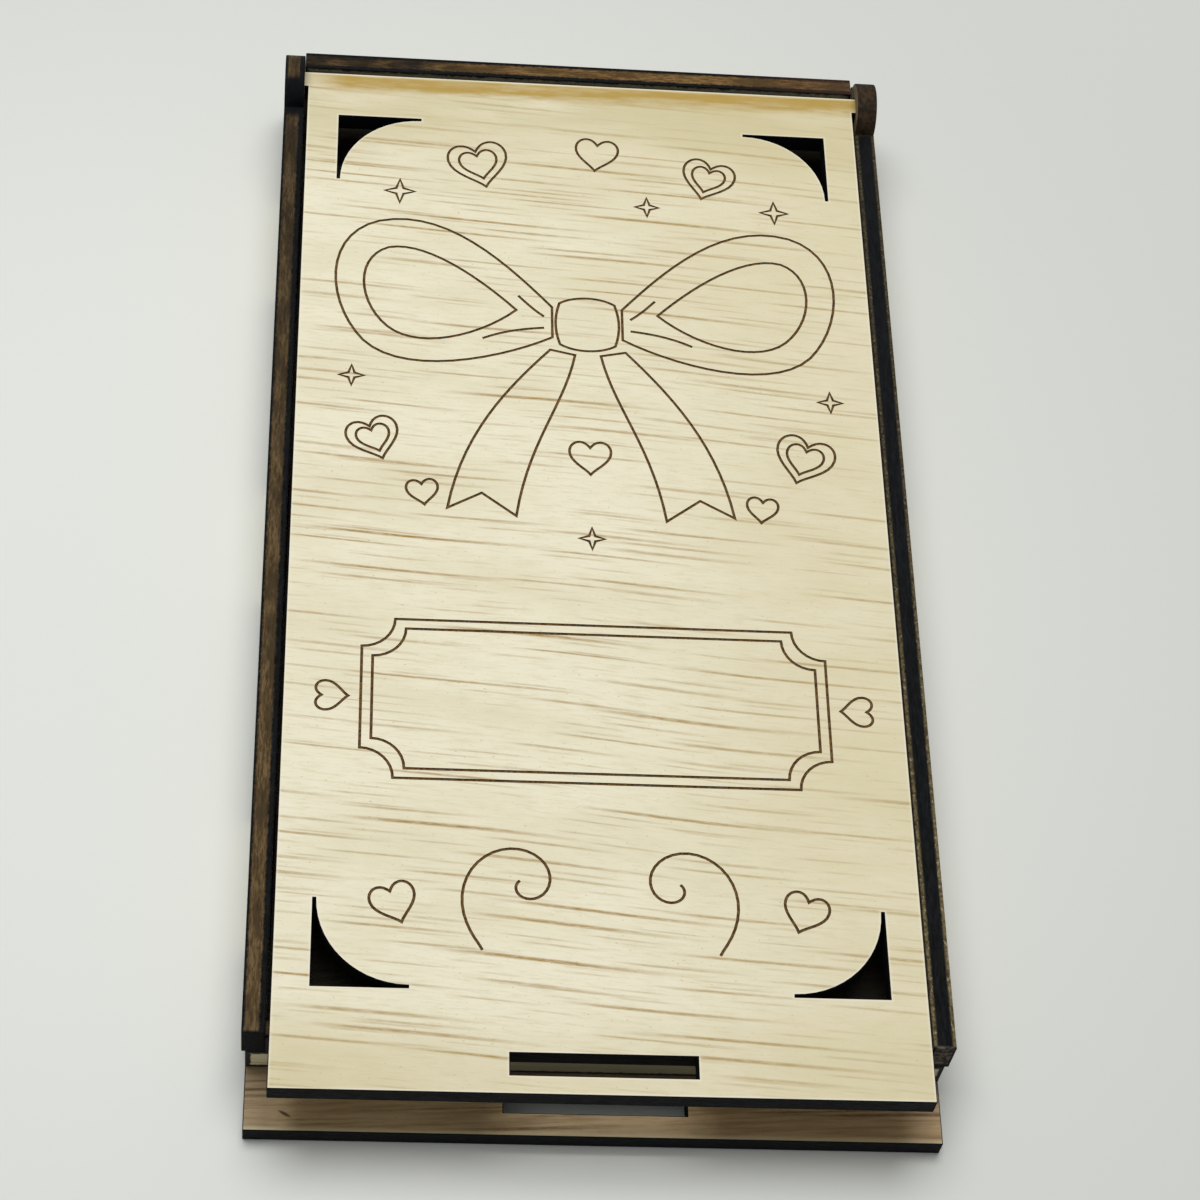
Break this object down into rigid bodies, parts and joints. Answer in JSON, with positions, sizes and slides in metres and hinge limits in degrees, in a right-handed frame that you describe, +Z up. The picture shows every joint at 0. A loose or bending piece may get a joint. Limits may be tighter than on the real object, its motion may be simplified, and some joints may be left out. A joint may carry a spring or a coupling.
{
  "type": "gift card holder",
  "caption": "Flat plywood gift card box: base, four glued walls and a lid that turns on its own tabs, with ribbon slots in both lips.",
  "frame": {"origin": "middle of the underside of the box, in the middle of its width and length", "axes": "+Z up, +Y from the opening edge to the hinge, +X to the right of someone who faces the opening edge"},
  "size_m": [0.092, 0.174, 0.018],
  "materials": {
    "base_ply": "bare plywood, laser-cut brown edges",
    "wall_ply": "bare plywood, laser-cut brown edges",
    "lid_ply": "bare pale plywood face with engraved lines, laser-cut brown edges"
  },
  "bodies": {
    "box": {"base_panel": "base_ply", "left_side_wall": "wall_ply", "right_side_wall": "wall_ply", "front_wall": "wall_ply", "back_wall": "wall_ply"},
    "lid": {"lid": "lid_ply"}
  },
  "joints": [
    {"name": "lid_hinge", "type": "hinge", "parent": "box", "child": "lid", "pos_m": [0, 0.08159, 0.0135], "axis": [-1, 0, 0], "range_deg": [0, 110]}
  ]
}
